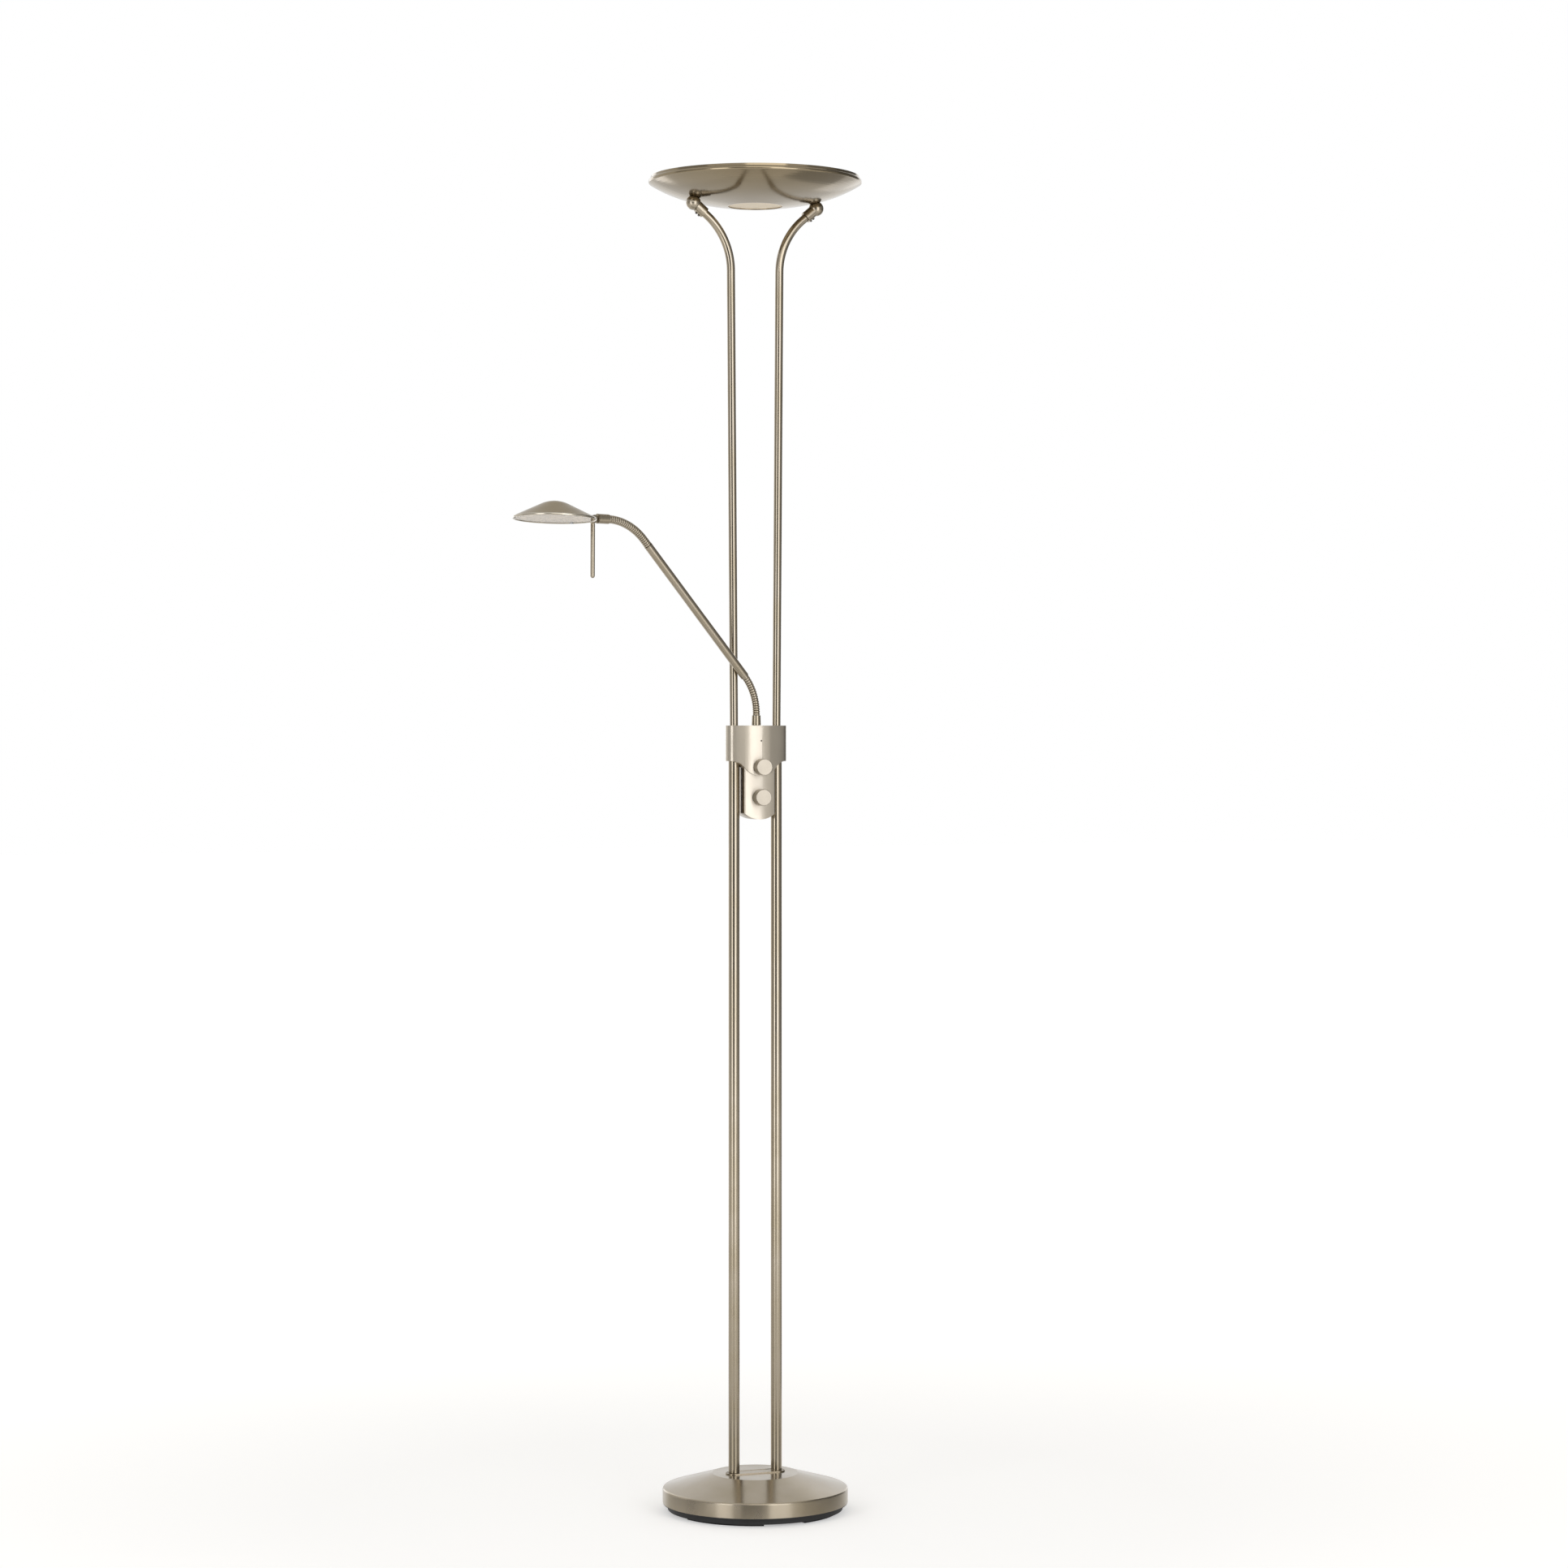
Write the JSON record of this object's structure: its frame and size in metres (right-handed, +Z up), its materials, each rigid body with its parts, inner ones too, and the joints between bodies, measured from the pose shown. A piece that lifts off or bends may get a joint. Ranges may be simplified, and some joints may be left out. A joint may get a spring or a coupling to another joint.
{
  "type": "torchiere floor lamp",
  "caption": "Floor lamp with a round weighted base, twin poles, a tilting uplight bowl, dimmer knobs and a gooseneck reading arm with a tilting, rolling head.",
  "frame": {"origin": "centre of the base on the floor", "axes": "+Z up, the two poles stand along X, the control knobs face -Y"},
  "size_m": [0.5156, 0.2974, 1.798],
  "materials": {
    "satin_nickel": "satin nickel plating over steel, fine circular grain",
    "knob_nickel": "turned aluminium, satin nickel plated",
    "plain_steel": "bright zinc plating",
    "cast_iron": "raw casting",
    "heat_sheet": "mill finish",
    "black_plastic": "moulded, fine grain",
    "black_rubber": "soft, matte",
    "board": "white solder mask",
    "green_board": "green solder mask",
    "opal_plastic": "opal, satin",
    "frosted_glass": "acid frosted",
    "clear_lens": "lightly prismatic",
    "mirror_chrome": "mirror"
  },
  "bodies": {
    "stand": {"base_cover": "satin_nickel", "base_weight": "cast_iron", "base_underside": "black_plastic", "base_feet": "black_rubber", "pole_plate": "satin_nickel", "base_nipples": "plain_steel", "nipple_nuts": "plain_steel", "underside_screws": "plain_steel", "cord_grommet": "black_rubber", "lower_pole_left": "satin_nickel", "lower_pole_right": "satin_nickel", "pole_joiners": "plain_steel", "upper_pole_left": "satin_nickel", "upper_pole_right": "satin_nickel", "bent_arm_left": "satin_nickel", "bent_arm_right": "satin_nickel", "knuckle_left": "satin_nickel", "knuckle_right": "satin_nickel", "ball_caps": "satin_nickel", "grub_screws": "plain_steel", "front_housing": "satin_nickel", "rear_housing": "satin_nickel", "housing_screws": "plain_steel", "switch_block": "satin_nickel", "block_cover": "satin_nickel", "dimmers": "plain_steel", "dimmer_nuts": "plain_steel", "driver_board": "green_board", "swivel_bushing": "plain_steel"},
    "bowl": {"pivot_ears": "satin_nickel", "cross_bracket": "plain_steel", "bowl_shell": "satin_nickel", "bottom_glass": "frosted_glass", "glass_retainer": "plain_steel", "heat_plate": "heat_sheet", "plate_standoffs": "plain_steel", "bowl_led_board": "board", "top_diffuser": "opal_plastic"},
    "upper_knob": {"upper_knob": "knob_nickel", "upper_shaft": "plain_steel"},
    "lower_knob": {"lower_knob": "knob_nickel", "lower_shaft": "plain_steel"},
    "arm_base": {"arm_collar": "satin_nickel", "lower_flex_1": "satin_nickel"},
    "lower_link": {"lower_flex_2": "satin_nickel"},
    "arm": {"lower_flex_3": "satin_nickel", "arm_tube": "satin_nickel", "upper_flex_1": "satin_nickel"},
    "upper_link_2": {"upper_flex_2": "satin_nickel"},
    "upper_link_3": {"upper_flex_3": "satin_nickel"},
    "neck": {"upper_flex_4": "satin_nickel", "neck_tube": "satin_nickel"},
    "swivel": {"neck_swivel": "satin_nickel"},
    "head": {"head_fork": "satin_nickel", "head_shell": "satin_nickel", "head_reflector": "mirror_chrome", "head_led_board": "board", "head_lens": "clear_lens", "lens_clips": "plain_steel", "handle_rod": "satin_nickel"}
  },
  "joints": [
    {"name": "bowl_tilt", "type": "hinge", "parent": "stand", "child": "bowl", "pos_m": [0, 0, 1.76], "axis": [1, 0, 0], "range_deg": [-45, 45]},
    {"name": "upper_knob_turn", "type": "hinge", "parent": "stand", "child": "upper_knob", "pos_m": [0, -0.03, 1.003], "axis": [0, -1, 0], "range_deg": [-270, 0]},
    {"name": "lower_knob_turn", "type": "hinge", "parent": "stand", "child": "lower_knob", "pos_m": [0, -0.03, 0.9622], "axis": [0, -1, 0], "range_deg": [-270, 0]},
    {"name": "arm_swivel", "type": "hinge", "parent": "stand", "child": "arm_base", "pos_m": [0, -0.004, 1.0588], "axis": [0, 0, 1], "range_deg": [0, 146]},
    {"name": "lower_bend_1", "type": "hinge", "parent": "arm_base", "child": "lower_link", "pos_m": [-0.00212, -0.00463, 1.09302], "axis": [0.2857, -0.9583, 0], "range_deg": [-9, 9]},
    {"name": "lower_bend_2", "type": "hinge", "parent": "lower_link", "child": "arm", "pos_m": [-0.00834, -0.00649, 1.10976], "axis": [0.2857, -0.9583, 0], "range_deg": [-9, 9]},
    {"name": "upper_bend_1", "type": "hinge", "parent": "arm", "child": "upper_link_2", "pos_m": [-0.19089, -0.06091, 1.31399], "axis": [0.2857, -0.9583, 0], "range_deg": [-8, 8]},
    {"name": "upper_bend_2", "type": "hinge", "parent": "upper_link_2", "child": "upper_link_3", "pos_m": [-0.20418, -0.06487, 1.32192], "axis": [0.2857, -0.9583, 0], "range_deg": [-8, 8]},
    {"name": "upper_bend_3", "type": "hinge", "parent": "upper_link_3", "child": "neck", "pos_m": [-0.21871, -0.0692, 1.32696], "axis": [0.2857, -0.9583, 0], "range_deg": [-8, 8]},
    {"name": "head_roll", "type": "hinge", "parent": "neck", "child": "swivel", "pos_m": [-0.25834, -0.08101, 1.32918], "axis": [-0.9583, -0.2857, 0.0105], "range_deg": [-60, 50]},
    {"name": "head_tilt", "type": "hinge", "parent": "swivel", "child": "head", "pos_m": [-0.25834, -0.08101, 1.32918], "axis": [-0.2859, 0.9576, -0.0349], "range_deg": [-23, 45]}
  ],
  "couplings": [
    {"joint": "lower_bend_1", "follows": "lower_bend_2", "ratio": 1},
    {"joint": "upper_bend_2", "follows": "upper_bend_1", "ratio": 1},
    {"joint": "upper_bend_3", "follows": "upper_bend_1", "ratio": 1}
  ]
}
